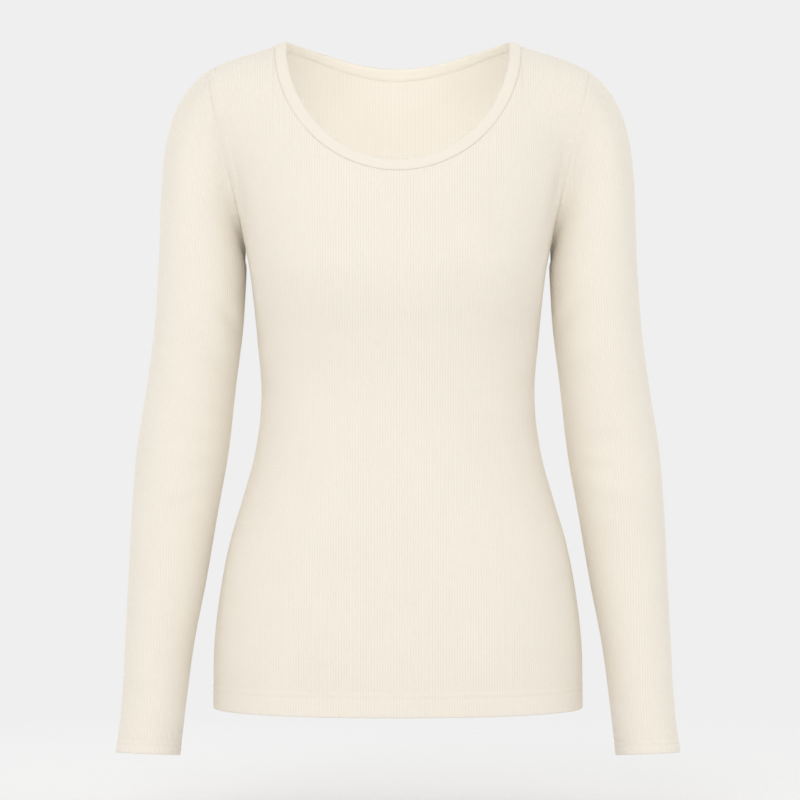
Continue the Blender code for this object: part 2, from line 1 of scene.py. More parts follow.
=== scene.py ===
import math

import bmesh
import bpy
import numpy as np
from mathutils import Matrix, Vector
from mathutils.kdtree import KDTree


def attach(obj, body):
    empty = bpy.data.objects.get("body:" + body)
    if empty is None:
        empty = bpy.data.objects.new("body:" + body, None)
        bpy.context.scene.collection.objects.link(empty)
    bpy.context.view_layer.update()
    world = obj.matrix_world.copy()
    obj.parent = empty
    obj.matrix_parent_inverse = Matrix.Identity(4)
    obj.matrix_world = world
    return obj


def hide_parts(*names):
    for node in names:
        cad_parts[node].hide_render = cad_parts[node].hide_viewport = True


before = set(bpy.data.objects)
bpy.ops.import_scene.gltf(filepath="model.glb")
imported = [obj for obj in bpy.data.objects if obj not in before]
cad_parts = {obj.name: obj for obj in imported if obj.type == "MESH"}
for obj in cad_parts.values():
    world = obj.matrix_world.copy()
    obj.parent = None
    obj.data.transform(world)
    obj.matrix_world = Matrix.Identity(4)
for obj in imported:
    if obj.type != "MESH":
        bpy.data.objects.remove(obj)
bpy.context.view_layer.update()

# Thermal base layer top in fine rib knit, in its filled-out form. All lengths are in metres.
#
# The front faces -Y and Y = 0 is the plane of the side seams and shoulder seams. Heights are given
# as drops below the high point of the neck. Each piece of cloth is a grid that follows the knit's
# wales: "run" is the distance across the cloth from the middle of a panel, or from the outer side
# of an arm, and "lift" is the distance along the cloth from its lower edge. Both of a piece's walls
# are moved from one thin form along the form's normals.

FRONT, BACK = -1, 1
SIDES = (FRONT, BACK)
MIRRORED = np.array([-1.0, 1.0, 1.0])

NECK_POINT_Z = 0.015
ARMPIT_DROP = 0.195
HEM_DROP = 0.622
CUFF_DROP = 0.6625

# The cloth's thickness, its ribs, and how far from a seam ribs and creases begin and the cloth is
# drawn in.
CLOTH = 0.0016
RIB_PITCH = 0.0025
RIB_DEPTH = 0.00040
RIB_COLUMNS = 3
FIRST_COLUMN = 1 / 6
VALLEY_NARROWNESS = 6
RIBS_END = 0.0016
CREASES_END = 0.012
SEAM_SINK = 0.0004
SEAM_SINK_INSIDE = 0.3
SEAM_WIDTH = 0.0034

# The turned-up edges: how high, how far the doubled cloth stands out, and the groove that each row
# of stitches presses into it.
HEM_HEIGHT = 0.024
CUFF_HEIGHT = 0.013
HEM_RISE = 0.00035
HEM_EASE = 0.0016
HEM_ROWS_APART = 0.0060
CUFF_ROWS_APART = 0.0046
EDGE_ROUND = 0.0012
INNER_LAYER = 0.8
DOUBLED_RIBS_LOST = 0.45
GROOVE_DEPTH = 0.00042
GROOVE_WIDTH = 0.0011

# The sewing thread: its half thickness, and how each stitch ends, as shares of that.
HEM_THREAD = 0.00022
CUFF_THREAD = 0.0002
STITCH_LENGTH = 0.0030
STITCH_STEPS = 5
THREAD_SIDES = 5
THREAD_PINCH = 0.55
THREAD_DIP = -1.3

# The finish of the knit: its own stitches, its nap, and how far its lightness wanders.
STITCH_PITCH = 0.00135
NAP_SCALE, NAP_DEPTH = 1500.0, 0.00010
MOTTLE_SCALE, MOTTLE_SHARE = 16.0, 0.05
YARN_SCALE, YARN_SHARE = 260.0, 0.024
LIGHTNESS = 0.963
THREAD_SCALE = 900.0

# The neck's edge and the folded band inside it.
NECK_HALF_WIDTH = 0.1148
NECK_FRONT_DROP = 0.1276
NECK_BACK_DROP = 0.0306
NECK_BACK_CURVE = 1.3
BAND_GAP = 0.0001
BAND_WIDTH = 0.0108
BAND_RIB_DEPTH = 0.00012

SHOULDER_COLUMNS = ("x", "drop")
SHOULDER = (
    (0.000, -0.0180),
    (0.060, -0.0120),
    (0.104, 0.0000),
    (0.132, 0.0095),
    (0.161, 0.0190),
    (0.178, 0.0275),
    (0.193, 0.0385),
    (0.210, 0.0560),
)
SHOULDER_TIP_X = 0.178

BODY_COLUMNS = ("drop", "half_width", "front", "back", "front_square", "back_square")
BODY = (
    (0.150, 0.1490, 0.1110, 0.1050, 2.20, 2.30),
    (0.195, 0.1418, 0.1180, 0.1040, 2.35, 2.30),
    (0.213, 0.1384, 0.1183, 0.1025, 2.40, 2.30),
    (0.240, 0.1350, 0.1136, 0.0985, 2.27, 2.25),
    (0.275, 0.1316, 0.1045, 0.0935, 2.06, 2.20),
    (0.335, 0.1276, 0.0950, 0.0860, 2.00, 2.20),
    (0.385, 0.1335, 0.0980, 0.0890, 2.03, 2.20),
    (0.430, 0.1458, 0.1035, 0.0985, 2.11, 2.20),
    (0.465, 0.1562, 0.1070, 0.1065, 2.20, 2.20),
    (0.510, 0.1652, 0.1098, 0.1160, 2.20, 2.20),
    (0.560, 0.1712, 0.1100, 0.1200, 2.20, 2.20),
    (0.622, 0.1722, 0.1085, 0.1175, 2.20, 2.20),
)
# How the upper body bends from the armpit level to the shoulder line, front and back.
RISE = {FRONT: 0.078, BACK: 0.085}
CREST_REACH = {FRONT: 0.066, BACK: 0.060}
CREST_DROP = {FRONT: 0.012, BACK: 0.008}
ARMHOLE_CURVE = 1.6

ARM_COLUMNS = ("drop", "x", "y", "half_width", "half_depth")
ARM = (
    (0.225, 0.1832, 0.000, 0.0412, 0.0470),
    (0.264, 0.1858, 0.001, 0.0414, 0.0465),
    (0.324, 0.1934, 0.002, 0.0417, 0.0452),
    (0.383, 0.2013, 0.001, 0.0430, 0.0445),
    (0.443, 0.2087, -0.003, 0.0400, 0.0430),
    (0.503, 0.2149, -0.009, 0.0363, 0.0400),
    (0.563, 0.2218, -0.016, 0.0320, 0.0365),
    (0.608, 0.2256, -0.022, 0.0300, 0.0340),
    (0.6625, 0.2313, -0.030, 0.0296, 0.0320),
)
ARM_TOP = 0.225
# Below this drop the sections turn until the cuff's edge lies square to the arm.
CUFF_TURNS_FROM = 0.560
CUFF_RISE_OUT = 0.045
CUFF_RISE_FRONT = 0.105

# Where each wale of the sleeve starts at the armhole: share of the way round the arm, from its
# outer side, and share of the way down the armhole.
CAP_STARTS_COLUMNS = ("around", "down")
CAP_STARTS = (
    (0.00, 0.00),
    (0.14, 0.10),
    (0.32, 0.20),
    (0.44, 0.30),
    (0.55, 0.41),
    (0.65, 0.53),
    (0.76, 0.68),
    (0.88, 0.85),
    (1.00, 1.00),
)
# How the cap leaves the shoulder tip, and how far it keeps its directions at the armhole and at
# the arm: first at the shoulder tip, then in the valley towards the armpit, which sets in between
# two shares of the way down.
CAP_SLOPE = 0.69
CAP_SIDEWAYS = 0.32
CAP_OUT = (0.063, 0.030)
CAP_DOWN = (0.088, 0.030)
VALLEY_FROM = 0.0
VALLEY_TO = 0.46

# How far the armhole's edge is pushed out, front and back, at shares of the way down it.
PUSH_COLUMNS = ("down", "push")
PUSH = (
    (0.00, 0.0000),
    (0.10, 0.0003),
    (0.22, 0.0030),
    (0.36, 0.0072),
    (0.50, 0.0112),
    (0.64, 0.0140),
    (0.78, 0.0138),
    (0.90, 0.0080),
    (1.00, 0.0000),
)
PUSH_REACH = 0.030

# The camera, and how much of the plane Y = 0 its picture takes in.
CAMERA_X, CAMERA_Z = 0.0019, -0.320
CAMERA_AWAY = 3.0
PICTURE_WIDTH = 0.748
SENSOR = 36.0

# The floor, and the distances from its middle between which it fades.
FLOOR_Z = NECK_POINT_Z - CUFF_DROP - 0.070
FLOOR_RADIUS = 1.6
FLOOR_FADES = (0.30, 1.20)
SOFTBOX = 0.89

# Steps and tolerances of the working out.
SAMPLES = 360
LINE_STEP = 0.0008
LEVEL_STEP = 0.004
RUN_STEP = 0.001
SHARE_STEP = 0.01
HALVINGS = 40
CORRECTIONS = 12
MERGE = 2e-6
CUT_MERGE = 0.00022
ON_SEAM = 1e-6
AT_SEAM_RUN = 1e-9
SAME_POINT = 1e-5
FAR = 1.0
SHARP_DEGREES = 75

# Rows of the panels, from the hem up: lifts in the hem, then drops with rows closer together where
# the back is creased, then shares of the way from the armpit level to the top.
HEM_LIFTS = (0.0, 0.0003, 0.0008, 0.0016, 0.004, 0.009, 0.013, 0.0164, 0.0180)
HEM_LIFTS += (0.0196, 0.0222, 0.024, 0.0258, 0.0285)
OVER_HEM = 0.036
CREASED_TO = 0.450
CREASED_FROM = 0.300
HIP_ROWS, WAIST_ROWS, CHEST_ROWS = 15, 28, 14
PANEL_SHARES = (0.0, 0.05, 0.10, 0.15, 0.20, 0.25, 0.30, 0.35, 0.40, 0.45, 0.50, 0.55, 0.60, 0.65)
PANEL_SHARES += (0.70, 0.75, 0.80, 0.85, 0.895, 0.93, 0.957, 0.977, 0.989, 0.996, 1.0)
# Rows lie level over this much of the cloth to each side, and follow the top edge only at the end.
ROW_BLEND = 0.008
LEVEL_LIMIT = 0.9
TURN_LATE = 6
# Columns added where the neck and the armhole end: turns in degrees, and (first share, count).
NECK_CUTS = (0, 1.5, 3, 5, 8, 12, 16, 20, 24, 28)
ARMHOLE_CUTS = (0.04, 30)

# Rows of the sleeves, from the armhole down: shares of the cap, drops of the arm, then lifts in
# the cuff.
CAP_SHARES = (0.0, 0.006, 0.016, 0.03, 0.055, 0.09, 0.13, 0.18, 0.24, 0.30, 0.37, 0.44, 0.51, 0.58)
CAP_SHARES += (0.65, 0.72, 0.79, 0.86, 0.93)
ARM_ROWS = 86
OVER_CUFF = 0.022
CUFF_LIFTS = (0.0172, 0.0148, 0.013, 0.0112, 0.0098, 0.0084, 0.0066, 0.0040, 0.0016)
CUFF_LIFTS += (0.0008, 0.0003, 0.0)
ARMHOLE_ROWS = 10

# Soft creases: where the middle lies (run, drop), its turn in degrees from across the cloth, its
# length, half its breadth, how deep it is, and how far it bows. A lower ridge runs beside each.
RIDGE_AWAY = 1.7
RIDGE_HEIGHT = 0.45
CREASE_COLUMNS = ("run", "drop", "turn", "length", "breadth", "depth", "bow")
FRONT_CREASES = (
    (0.176, 0.148, 76, 0.110, 0.0130, 0.0020, 1.5),
    (-0.173, 0.152, 104, 0.120, 0.0140, 0.0022, -1.5),
    (0.160, 0.196, 38, 0.060, 0.0090, 0.0009, 2.0),
    (-0.162, 0.201, 142, 0.066, 0.0095, 0.0010, -2.0),
    (0.150, 0.262, -14, 0.085, 0.0120, 0.0009, 0.6),
    (-0.148, 0.270, 194, 0.092, 0.0120, 0.0008, 0.6),
    (0.152, 0.318, 6, 0.090, 0.0110, 0.0008, -0.8),
    (-0.146, 0.326, 176, 0.080, 0.0120, 0.0009, 0.8),
    (0.146, 0.362, 16, 0.100, 0.0120, 0.0007, -0.6),
    (-0.150, 0.356, 166, 0.088, 0.0110, 0.0006, 0.6),
)
BACK_CREASES = (
    (0.168, 0.140, 78, 0.110, 0.0100, 0.0026, 1.2),
    (-0.166, 0.146, 100, 0.120, 0.0110, 0.0028, -1.2),
    (0.150, 0.212, 32, 0.080, 0.0080, 0.0024, 1.0),
    (-0.154, 0.206, 146, 0.086, 0.0085, 0.0022, -1.0),
    (0.062, 0.350, 6, 0.150, 0.0075, 0.0028, -0.7),
    (-0.056, 0.374, 175, 0.170, 0.0080, 0.0030, 0.6),
    (0.088, 0.392, 10, 0.120, 0.0070, 0.0020, -0.8),
    (-0.112, 0.334, 168, 0.104, 0.0070, 0.0020, 0.7),
    (0.130, 0.314, -9, 0.084, 0.0070, 0.0019, 0.6),
    (0.020, 0.414, 178, 0.110, 0.0075, 0.0014, 0.5),
)
# The sleeves' runs are below 0 at the front.
SLEEVE_CREASES = (
    (-0.106, 0.262, 34, 0.074, 0.0065, 0.0024, 1.2),
    (-0.100, 0.304, 22, 0.064, 0.0065, 0.0017, 1.0),
    (-0.084, 0.372, 10, 0.090, 0.0070, 0.0013, 0.9),
    (-0.090, 0.398, -6, 0.084, 0.0065, 0.0011, -0.8),
    (-0.078, 0.430, -14, 0.078, 0.0070, 0.0012, -0.8),
    (0.092, 0.256, -30, 0.084, 0.0070, 0.0026, -1.0),
    (0.078, 0.318, -16, 0.070, 0.0070, 0.0018, -0.6),
    (0.086, 0.384, 7, 0.080, 0.0070, 0.0024, 0.7),
    (0.074, 0.410, -5, 0.070, 0.0065, 0.0018, -0.5),
    (0.070, 0.470, -12, 0.066, 0.0070, 0.0014, -0.6),
    (-0.030, 0.600, 8, 0.060, 0.0070, 0.0008, 0.6),
    (0.044, 0.586, -10, 0.058, 0.0070, 0.0011, -0.6),
    (0.010, 0.626, 4, 0.050, 0.0065, 0.0007, 0.6),
)


def height(drop):
    """Z of a drop below the high point of the neck."""
    return NECK_POINT_Z - drop


def through(xs, ys, x):
    """Values at x of a smooth curve through the points (xs, ys), where xs rises."""
    xs, ys = np.asarray(xs, float), np.asarray(ys, float)
    slope = np.gradient(ys, xs)
    i = np.clip(np.searchsorted(xs, x) - 1, 0, len(xs) - 2)
    step = xs[i + 1] - xs[i]
    u = (x - xs[i]) / step
    start = (2 * u**3 - 3 * u**2 + 1) * ys[i] + (u**3 - 2 * u**2 + u) * step * slope[i]
    end = (3 * u**2 - 2 * u**3) * ys[i + 1] + (u**3 - u**2) * step * slope[i + 1]
    return start + end


def bent(start, first, last, end, share):
    """Points at shares of the way along curves from start to end, drawn towards first and last."""
    u = np.asarray(share)[..., None]
    near = (1 - u) ** 3 * start + 3 * u * (1 - u) ** 2 * first
    return near + 3 * u**2 * (1 - u) * last + u**3 * end


def column_of(table, names, name):
    """One named column of a table."""
    return [row[names.index(name)] for row in table]


def value_in(table, names, name, key, x):
    """A column of a table at any x of the column named key."""
    return through(column_of(table, names, key), column_of(table, names, name), x)


def body_value(name, drop):
    """A column of the body's table at any drop."""
    return value_in(BODY, BODY_COLUMNS, name, "drop", drop)


def arm_value(name, drop):
    """A column of the arm's table at any drop."""
    return value_in(ARM, ARM_COLUMNS, name, "drop", drop)


def run_lengths(points):
    """Distance along a line of points, from its first point to each."""
    steps = np.linalg.norm(np.diff(points, axis=0), axis=1)
    return np.concatenate([[0.0], np.cumsum(steps)])


def unit(vectors):
    """Vectors scaled to a length of 1."""
    return vectors / np.linalg.norm(vectors, axis=-1)[..., None]


def soft_step(value):
    """0 below 0, 1 above 1, and smooth between."""
    value = np.clip(value, 0.0, 1.0)
    return value * value * (3 - 2 * value)


def at_run(section, run):
    """Points at distances along a section."""
    runs, points = section
    return np.stack([np.interp(run, runs, points[:, k]) for k in range(3)], -1)


def body_section(side, drop):
    """Half of a level section, from the middle to the side seam: (run, points)."""
    angle = np.linspace(0.0, math.pi / 2, SAMPLES)
    name = "front" if side == FRONT else "back"
    power = 2.0 / body_value(name + "_square", drop)
    x = body_value("half_width", drop) * np.sin(angle) ** power
    y = side * body_value(name, drop) * np.clip(np.cos(angle), 0.0, 1.0) ** power
    points = np.stack([x, y, np.full(SAMPLES, height(drop))], 1)
    return run_lengths(points), points


def shoulder_line():
    """The shoulder line from the middle outwards: (run, points)."""
    xs = column_of(SHOULDER, SHOULDER_COLUMNS, "x")
    x = np.linspace(xs[0], xs[-1], SAMPLES)
    drop = value_in(SHOULDER, SHOULDER_COLUMNS, "drop", "x", x)
    points = np.stack([x, np.zeros(SAMPLES), height(drop)], 1)
    return run_lengths(points), points


CREST = shoulder_line()
TIP_RUN = float(np.interp(SHOULDER_TIP_X, CREST[1][:, 0], CREST[0]))
NECK_RUN = float(np.interp(NECK_HALF_WIDTH, CREST[1][:, 0], CREST[0]))
ARMPIT_RUN = {side: float(body_section(side, ARMPIT_DROP)[0][-1]) for side in SIDES}


def upper_points(side, run, share):
    """Points above the armpit level at runs and at shares of the way to the shoulder line."""
    foot_section = body_section(side, ARMPIT_DROP)
    above = body_section(side, ARMPIT_DROP - LEVEL_STEP)
    below = body_section(side, ARMPIT_DROP + LEVEL_STEP)
    part = run / ARMPIT_RUN[side]
    lean = at_run(above, part * above[0][-1]) - at_run(below, part * below[0][-1])
    foot = at_run(foot_section, run)
    crest = at_run(CREST, run)
    rise = foot + lean / (2 * LEVEL_STEP) * RISE[side]
    reach = crest + np.array([0.0, side * CREST_REACH[side], -CREST_DROP[side]])
    return bent(foot, rise, reach, crest, share)


def neck_height(side, x, inward=0.0):
    """Height of the neck's edge in front view, or of a line that lies further in."""
    half = NECK_HALF_WIDTH - inward
    top = np.interp(half, CREST[1][:, 0], CREST[1][:, 2])
    across = np.clip(x / half, 0.0, 1.0)
    if side == FRONT:
        depth = top - height(NECK_FRONT_DROP) - inward
        return top - depth * np.sqrt(1 - across**2)
    depth = top - height(NECK_BACK_DROP) - inward
    return top - depth * np.cos(across * math.pi / 2) ** NECK_BACK_CURVE


def share_at_height(side, run, wanted):
    """Share at which each wale reaches a height, by halving. wanted gives the height at an x."""
    low, high = np.zeros_like(run), np.ones_like(run)
    for _ in range(HALVINGS):
        middle = (low + high) / 2
        p = upper_points(side, run, middle)
        over = p[..., 2] > wanted(p[..., 0])
        low, high = np.where(over, low, middle), np.where(over, middle, high)
    return (low + high) / 2


def top_share(side, run):
    """Share at which each wale stops: at the neck, the shoulder seam or the armhole."""
    share = np.ones_like(run)
    neck = run < NECK_RUN
    share[neck] = share_at_height(side, run[neck], lambda x: neck_height(side, x))
    left = np.clip((ARMPIT_RUN[side] - run) / (ARMPIT_RUN[side] - TIP_RUN), 0.0, 1.0)
    curve = 1 - (1 - left**ARMHOLE_CURVE) ** (1 / ARMHOLE_CURVE)
    return np.where(run > TIP_RUN, curve, share)


def armhole_line(side):
    """Half of the armhole, from the shoulder tip to the armpit: (run, points)."""
    angle = np.linspace(0.0, math.pi / 2, SAMPLES)
    zone = ARMPIT_RUN[side] - TIP_RUN
    run = ARMPIT_RUN[side] - zone * np.cos(angle) ** (2 / ARMHOLE_CURVE)
    share = 1 - np.sin(angle) ** (2 / ARMHOLE_CURVE)
    points = upper_points(side, run, share)
    return run_lengths(points), points


ARMHOLE = {side: armhole_line(side) for side in SIDES}


def pushed_out(side, points):
    """Points near an armhole moved out, so that panel and sleeve meet in a soft valley."""
    runs, line = ARMHOLE[side]
    ahead = unit(np.gradient(line, axis=0))
    gaps = points[..., None, :] - line
    near = np.argmin((gaps**2).sum(-1), axis=-1)
    gap = np.take_along_axis(gaps, near[..., None, None], axis=-2)[..., 0, :]
    along = (gap * ahead[near]).sum(-1)
    apart = np.sqrt(np.clip((gap**2).sum(-1) - along**2, 0.0, None))
    down = np.clip((runs[near] + along) / runs[-1], 0.0, 1.0)
    push = value_in(PUSH, PUSH_COLUMNS, "push", "down", down)
    push = push * np.clip(1 - apart / PUSH_REACH, 0.0, 1.0) ** 2
    return points + np.stack([np.zeros_like(push), side * push, np.zeros_like(push)], -1)


def panel_points(side, below, value, run):
    """Points of a panel's form at runs in one row, below the armpit level or above it."""
    if below:
        section = body_section(side, value)
        return pushed_out(side, at_run(section, np.clip(run, 0.0, section[0][-1])))
    run = np.clip(run, 0.0, ARMPIT_RUN[side])
    return pushed_out(side, upper_points(side, run, np.clip(value, 0.0, 1.0)))


def panel_normals(side, below, value, run):
    """Unit normals that point out of a panel's form."""
    run = np.maximum(run, RUN_STEP)
    here = panel_points(side, below, value, run)
    across = here - panel_points(side, below, value, run - RUN_STEP)
    if below:
        upper = body_section(side, value - LEVEL_STEP)
        lower = body_section(side, value + LEVEL_STEP)
        part = run / body_section(side, value)[0][-1]
        along = at_run(upper, part * upper[0][-1]) - at_run(lower, part * lower[0][-1])
    else:
        value = np.maximum(value, SHARE_STEP)
        here = panel_points(side, below, value, run)
        along = here - panel_points(side, below, value - SHARE_STEP, run)
    return unit(np.cross(across, along) * -side)


def square_at_seams(points, normals):
    """Normals laid in the plane of the side seams wherever the points lie in it."""
    normals[np.abs(points[..., 1]) < ON_SEAM, 1] = 0.0
    return unit(normals)


def arm_section(side, drop):
    """Half of a section of the arm, from its outer side to the underarm seam: (run, points).

    It is level, but for the last stretch, which turns square to the arm.
    """
    angle = np.linspace(0.0, math.pi, SAMPLES)
    outward = arm_value("half_width", drop) * np.cos(angle)
    back = side * arm_value("half_depth", drop) * np.sin(angle)
    turned = soft_step((drop - CUFF_TURNS_FROM) / (CUFF_DROP - CUFF_TURNS_FROM))
    rise = turned * (CUFF_RISE_OUT * outward - CUFF_RISE_FRONT * back)
    x, y = arm_value("x", drop) + outward, arm_value("y", drop) + back
    points = np.stack([x, y, height(drop) + rise], 1)
    return run_lengths(points), points


def cap_points(side, run, share):
    """Points between the armhole and the first level section of the arm."""
    section = arm_section(side, ARM_TOP)
    lower = arm_section(side, ARM_TOP + LEVEL_STEP)
    part = run / section[0][-1]
    spread = value_in(CAP_STARTS, CAP_STARTS_COLUMNS, "down", "around", part)
    start = at_run(ARMHOLE[side], spread * ARMHOLE[side][0][-1])
    end = at_run(section, run)
    down = unit(at_run(lower, part * lower[0][-1]) - end)
    sideways = side * CAP_SIDEWAYS * np.sin(math.pi * spread)
    out = unit(np.stack([np.ones_like(run), sideways, np.full_like(run, -CAP_SLOPE)], -1))
    valley = soft_step((spread - VALLEY_FROM) / (VALLEY_TO - VALLEY_FROM))[..., None]
    out = unit((1 - valley) * out + valley * down)
    first = start + out * (CAP_OUT[0] * (1 - valley) + CAP_OUT[1] * valley)
    last = end - down * (CAP_DOWN[0] * (1 - valley) + CAP_DOWN[1] * valley)
    return bent(start, first, last, end, share)


def sleeve_points(side, cap, value, run):
    """Points of a sleeve's form at runs in one row, on its cap or on the arm below."""
    section = arm_section(side, ARM_TOP if cap else value)
    run = np.clip(run, 0.0, section[0][-1])
    if cap:
        return pushed_out(side, cap_points(side, run, np.clip(value, 0.0, 1.0)))
    return at_run(section, run)


def sleeve_normals(side, cap, value, run):
    """Unit normals that point out of a sleeve's form."""
    run = np.maximum(run, RUN_STEP)
    here = sleeve_points(side, cap, value, run)
    across = here - sleeve_points(side, cap, value, run - RUN_STEP)
    if cap:
        along = here - sleeve_points(side, cap, value + SHARE_STEP, run)
    else:
        upper, lower = arm_section(side, value - LEVEL_STEP), arm_section(side, value + LEVEL_STEP)
        part = run / arm_section(side, value)[0][-1]
        along = at_run(upper, part * upper[0][-1]) - at_run(lower, part * lower[0][-1])
    return unit(np.cross(across, along) * side)


def rib_depth(run):
    """How deep the knit is at a run, 0 on the flat top of a rib and 1 in the narrow valley."""
    phase = np.abs(run) / RIB_PITCH % 1.0
    return np.clip(1 - np.abs(phase - 0.5) * VALLEY_NARROWNESS, 0.0, 1.0)


def softened(side, run):
    """top_share, averaged over a little of the cloth to each side, for rows that lie level."""
    even = np.arange(-ROW_BLEND, ARMPIT_RUN[side] + ROW_BLEND, RUN_STEP / 2)
    tops = top_share(side, np.clip(np.abs(even), 0.0, ARMPIT_RUN[side]))
    width = int(2 * ROW_BLEND / (RUN_STEP / 2)) | 1
    mean = np.convolve(np.pad(tops, width // 2, mode="edge"), np.ones(width) / width, "valid")
    return np.interp(run, even, mean)


def rib_columns(widest):
    """Runs of two columns for the top of each rib and one for each valley, out to the widest."""
    count = int(widest / RIB_PITCH * RIB_COLUMNS) + 2
    return [RIB_PITCH * (FIRST_COLUMN + k / RIB_COLUMNS) for k in range(count)]


def creased(creases, run, drop):
    """How far the creases sink the cloth at runs and drops."""
    sunk = np.zeros_like(run)
    for crease in creases:
        c = dict(zip(CREASE_COLUMNS, crease))
        turn = math.radians(c["turn"])
        dx, dz = run - c["run"], c["drop"] - drop
        along = dx * math.cos(turn) + dz * math.sin(turn)
        across = dz * math.cos(turn) - dx * math.sin(turn) - c["bow"] * along**2
        reach = np.cos(np.clip(along / c["length"], -0.5, 0.5) * math.pi) ** 2
        trough = np.exp(-((across / c["breadth"]) ** 2))
        ridge = np.exp(-(((across - RIDGE_AWAY * c["breadth"]) / c["breadth"]) ** 2))
        sunk += c["depth"] * reach * (trough - RIDGE_HEIGHT * ridge)
    return sunk


def nearest(points, line):
    """Distance of each point to the points of a line."""
    tree = KDTree(len(line))
    for k, point in enumerate(line):
        tree.insert(point, k)
    tree.balance()
    flat = points.reshape(-1, 3)
    return np.array([tree.find(p)[2] for p in flat]).reshape(points.shape[:-1])


def spaced(line, run, even):
    """Points, or normals, of a line at even runs."""
    return np.stack([np.interp(even, run, line[:, k]) for k in range(3)], 1)


def denser(line):
    """A line with points added so that none are further apart than LINE_STEP."""
    run = run_lengths(line)
    return spaced(line, run, np.linspace(0.0, run[-1], int(run[-1] / LINE_STEP) + 2))


def turned_up(lift, hem, rows_apart):
    """A turned-up edge: (rise of the outside, sink of the inside, how far the cloth is doubled)."""
    doubled = soft_step((hem - lift) / HEM_EASE + 0.5)
    upper_groove = np.exp(-(((lift - hem) / GROOVE_WIDTH) ** 2))
    lower_groove = np.exp(-(((lift - hem + rows_apart) / GROOVE_WIDTH) ** 2))
    part = np.clip(lift / EDGE_ROUND, 0, 1)
    curl = EDGE_ROUND * (1 - np.sqrt(np.clip(1 - (1 - part) ** 2, 0, 1)))
    rise = HEM_RISE * doubled - GROOVE_DEPTH * (upper_groove + lower_groove) - curl
    return rise, CLOTH * INNER_LAYER * doubled - curl, doubled


def walls(points, normals, run, lift, edge, creases, hem, rows_apart):
    """Outer and inner points of cloth with ribs, creases, sunk seams and a turned-up edge.

    edge is how far each point lies from the nearest seam.
    """
    rise, fold, doubled = turned_up(lift, hem, rows_apart)
    sunk = creased(creases, run, NECK_POINT_Z - points[..., 2]) * soft_step(edge / CREASES_END)
    seam = SEAM_SINK * (1 - soft_step(edge / SEAM_WIDTH))
    ribs = RIB_DEPTH * rib_depth(run) * soft_step(edge / RIBS_END)
    ribs = ribs * (1 - DOUBLED_RIBS_LOST * doubled)
    outer = ribs + seam + sunk - rise
    inner = CLOTH + fold + sunk + seam * SEAM_SINK_INSIDE
    return points - normals * outer[..., None], points - normals * inner[..., None]


def even_drops(low, high, rows):
    """Drops of rows from a low one up to a high one, without the last."""
    return list(np.linspace(low, high, rows)[:-1])


def panel_runs(side, widest):
    """Runs of a panel's columns: the ribs' own, and more where the neck and the armhole end."""
    zone = ARMPIT_RUN[side] - TIP_RUN
    first, count = ARMHOLE_CUTS
    shares = np.linspace(first, 1, count)
    parts = [(1 - (1 - share) ** ARMHOLE_CURVE) ** (1 / ARMHOLE_CURVE) for share in shares]
    cuts = [ARMPIT_RUN[side] - zone * part for part in parts]
    cuts += [NECK_RUN * math.cos(math.radians(turn)) for turn in NECK_CUTS]
    clear = [run for run in rib_columns(widest) if min(abs(run - cut) for cut in cuts) > CUT_MERGE]
    return np.array(sorted(clear + cuts))


def panel(side):
    """Front or back: (outer points, inner points, cloth coordinates) in rows and columns."""
    drops = [HEM_DROP - lift for lift in HEM_LIFTS]
    drops += even_drops(HEM_DROP - OVER_HEM, CREASED_TO, HIP_ROWS)
    drops += even_drops(CREASED_TO, CREASED_FROM, WAIST_ROWS)
    drops += even_drops(CREASED_FROM, ARMPIT_DROP, CHEST_ROWS)
    runs = panel_runs(side, max(body_section(side, drop)[0][-1] for drop in drops))
    upper_runs = np.minimum(runs, ARMPIT_RUN[side])
    tops = top_share(side, upper_runs)
    level = np.minimum(softened(side, upper_runs), tops / LEVEL_LIMIT)
    rows, outs, widths = [], [], []
    for drop in drops:
        width = body_section(side, drop)[0][-1]
        near = np.minimum(runs, width)
        rows.append(panel_points(side, True, drop, near))
        outs.append(panel_normals(side, True, drop, near))
        widths.append(np.full(len(runs), width))
    for share in PANEL_SHARES:
        late = share**TURN_LATE
        value = share * (level * (1 - late) + tops * late)
        rows.append(panel_points(side, False, value, upper_runs))
        outs.append(panel_normals(side, False, value, upper_runs))
        widths.append(np.full(len(runs), ARMPIT_RUN[side]))
    points, widths = np.array(rows), np.array(widths)
    normals = square_at_seams(points, np.array(outs))
    run = np.minimum(runs[None, :], widths)
    steps = np.linalg.norm(np.diff(points, axis=0), axis=2)
    lift = np.concatenate([np.zeros((1, len(runs))), np.cumsum(steps, axis=0)])
    edge = nearest(points, denser(points[-1]))
    edge[: len(drops) // 2] = FAR
    edge = np.minimum(edge, widths - run)

    points, normals = (
        np.concatenate([grid[:, ::-1] * MIRRORED, grid], 1) for grid in (points, normals)
    )
    run, lift, edge = (
        np.concatenate([sign * grid[:, ::-1], grid], 1)
        for sign, grid in ((-1, run), (1, lift), (1, edge))
    )
    creases = FRONT_CREASES if side == FRONT else BACK_CREASES
    outer, inner = walls(points, normals, run, lift, edge, creases, HEM_HEIGHT, HEM_ROWS_APART)
    return outer, inner, np.stack([run, lift], -1)


def sleeve_row(cap, value, runs):
    """A row all round a sleeve, from the underarm seam: (points, normals, runs, widths)."""
    parts = []
    for side in SIDES:
        width = arm_section(side, ARM_TOP if cap else value)[0][-1]
        near = np.minimum(runs, width)
        near = near[::-1] if side == FRONT else near
        points = sleeve_points(side, cap, value, near)
        normals = sleeve_normals(side, cap, value, near)
        normals[near > width - AT_SEAM_RUN, 1] = 0.0
        parts.append((points, unit(normals), side * near, np.full(len(runs), width)))
    return [np.concatenate(pair) for pair in zip(*parts)]


